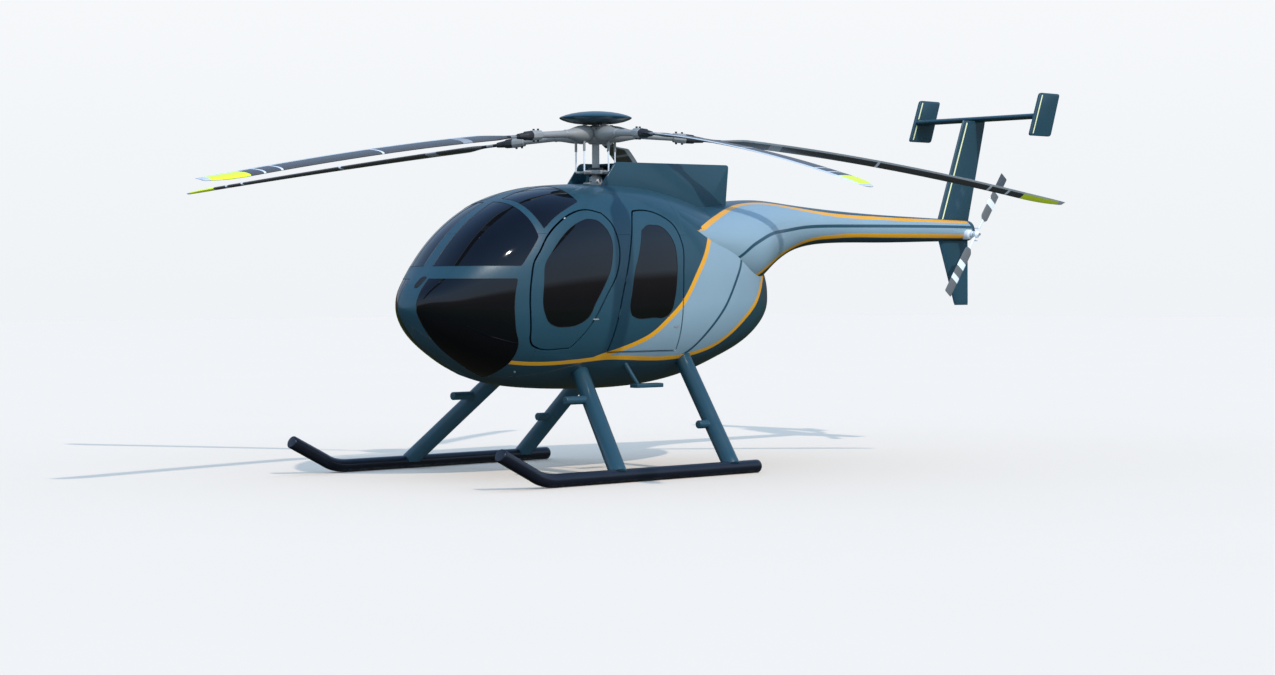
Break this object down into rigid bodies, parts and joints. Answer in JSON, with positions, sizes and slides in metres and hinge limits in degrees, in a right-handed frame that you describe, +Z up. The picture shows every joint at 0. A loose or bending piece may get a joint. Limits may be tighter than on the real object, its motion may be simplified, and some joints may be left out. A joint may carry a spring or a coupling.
{
  "type": "light turbine helicopter on skids",
  "caption": "Egg-shaped cabin with tinted windows and side doors, tall rotor fairing, drooping main blades, slim tail boom with T tail and side rotor, on tubular skids.",
  "frame": {"origin": "floor level under the middle of the whole machine's box, its rotor at rest", "axes": "+Z up, -Y towards the nose, +X to port"},
  "size_m": [7.6292, 9.3324, 3.283],
  "materials": {
    "blue_paint": "gloss",
    "tinted_glass": "gloss",
    "satin_metal": "satin",
    "navy_paint": "satin",
    "grey_trim": "matte",
    "seat_cloth": "matte",
    "blade_grey": "satin"
  },
  "bodies": {
    "airframe": {"aft_shell": "blue_paint", "belly_shell": "blue_paint", "cabin_floor": "grey_trim", "cabin_step_left": "blue_paint", "cabin_step_right": "blue_paint", "chin_window_left": "tinted_glass", "chin_window_right": "tinted_glass", "door_pillar_left": "blue_paint", "door_pillar_right": "blue_paint", "engine": "satin_metal", "front_seat_base_left": "grey_trim", "front_seat_base_right": "grey_trim", "front_seat_left": "seat_cloth", "front_seat_right": "seat_cloth", "front_strut_left": "blue_paint", "front_strut_right": "blue_paint", "instrument_console": "grey_trim", "lower_fin": "blue_paint", "mast_bearing": "satin_metal", "nose_frame": "blue_paint", "rear_bench": "seat_cloth", "rear_bench_base": "grey_trim", "rear_bulkhead": "grey_trim", "rear_strut_left": "blue_paint", "rear_strut_right": "blue_paint", "roof_shell": "blue_paint", "roof_window_left": "tinted_glass", "roof_window_right": "tinted_glass", "rotor_fairing": "blue_paint", "skid_tube_left": "navy_paint", "skid_tube_right": "navy_paint", "stabilizer": "blue_paint", "tail_boom": "blue_paint", "tail_gearbox": "satin_metal", "upper_fin": "blue_paint", "windscreen_left": "tinted_glass", "windscreen_right": "tinted_glass"},
    "main_rotor": {"main_blade_1": "blade_grey", "main_blade_2": "blade_grey", "main_blade_3": "blade_grey", "main_blade_4": "blade_grey", "main_blade_5": "blade_grey", "rotor_cap": "blue_paint", "rotor_head": "satin_metal"},
    "tail_rotor": {"tail_rotor": "satin_metal"},
    "front_door_left": {"front_door_left": "blue_paint", "front_door_window_left": "tinted_glass"},
    "front_door_right": {"front_door_right": "blue_paint", "front_door_window_right": "tinted_glass"},
    "rear_door_left": {"rear_door_left": "blue_paint", "rear_door_window_left": "tinted_glass"},
    "rear_door_right": {"rear_door_right": "blue_paint", "rear_door_window_right": "tinted_glass"}
  },
  "joints": [
    {"name": "main_rotor_spin", "type": "hinge", "parent": "airframe", "child": "main_rotor", "pos_m": [0, -0.68, 2.735], "axis": [0, 0, 1], "continuous": true},
    {"name": "tail_rotor_spin", "type": "hinge", "parent": "airframe", "child": "tail_rotor", "pos_m": [0.2, 4.064, 1.97], "axis": [1, 0, 0], "continuous": true},
    {"name": "front_door_left_hinge", "type": "hinge", "parent": "airframe", "child": "front_door_left", "pos_m": [0.6005, -1.93, 1.27], "axis": [0.0125, 0, -0.9999], "range_deg": [0, 75]},
    {"name": "front_door_right_hinge", "type": "hinge", "parent": "airframe", "child": "front_door_right", "pos_m": [-0.6005, -1.93, 1.27], "axis": [0.0125, 0, 0.9999], "range_deg": [0, 75]},
    {"name": "rear_door_left_hinge", "type": "hinge", "parent": "airframe", "child": "rear_door_left", "pos_m": [0.706, -1.0973, 1.28], "axis": [0.0092, -0.2785, -0.9604], "range_deg": [0, 75]},
    {"name": "rear_door_right_hinge", "type": "hinge", "parent": "airframe", "child": "rear_door_right", "pos_m": [-0.706, -1.0973, 1.28], "axis": [0.0092, 0.2785, 0.9604], "range_deg": [0, 75]}
  ]
}
